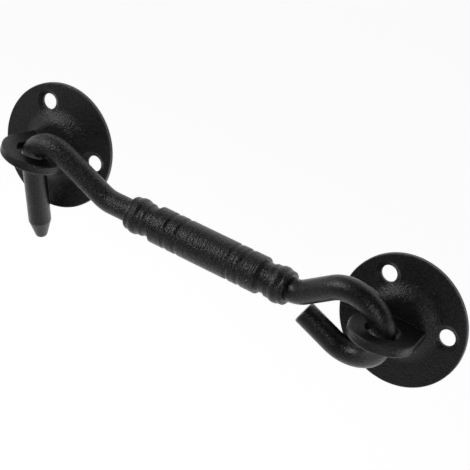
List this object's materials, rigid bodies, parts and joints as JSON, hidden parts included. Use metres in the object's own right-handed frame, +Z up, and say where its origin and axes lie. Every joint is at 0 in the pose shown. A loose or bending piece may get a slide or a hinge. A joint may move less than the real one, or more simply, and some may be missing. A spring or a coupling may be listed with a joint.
{
  "type": "hook and eye latch",
  "caption": "Hook and eye latch on round screw plates: a bent bar with a turned grip is linked through the pivot eye and drops its pin through the catch eye.",
  "frame": {"origin": "middle of the pivot plate's screw circle, on the plane of the wall at the plate's back", "axes": "+X along the wall from the catch plate to the pivot plate, +Y into the wall, +Z up"},
  "size_m": [0.157, 0.0231, 0.0479],
  "materials": {
    "black_coat": "satin black powder coat with a fine grain"
  },
  "bodies": {
    "mounted_eyes": {"catch_plate": "black_coat", "catch_eye": "black_coat", "pivot_plate": "black_coat", "pivot_eye": "black_coat"},
    "arm": {"hook_bar": "black_coat", "grip_sleeve": "black_coat"}
  },
  "joints": [
    {"name": "hook_lift", "type": "hinge", "parent": "mounted_eyes", "child": "arm", "pos_m": [-0.0097, -0.0136, 0], "axis": [0, 0.9397, 0.342], "range_deg": [0, 135]}
  ]
}
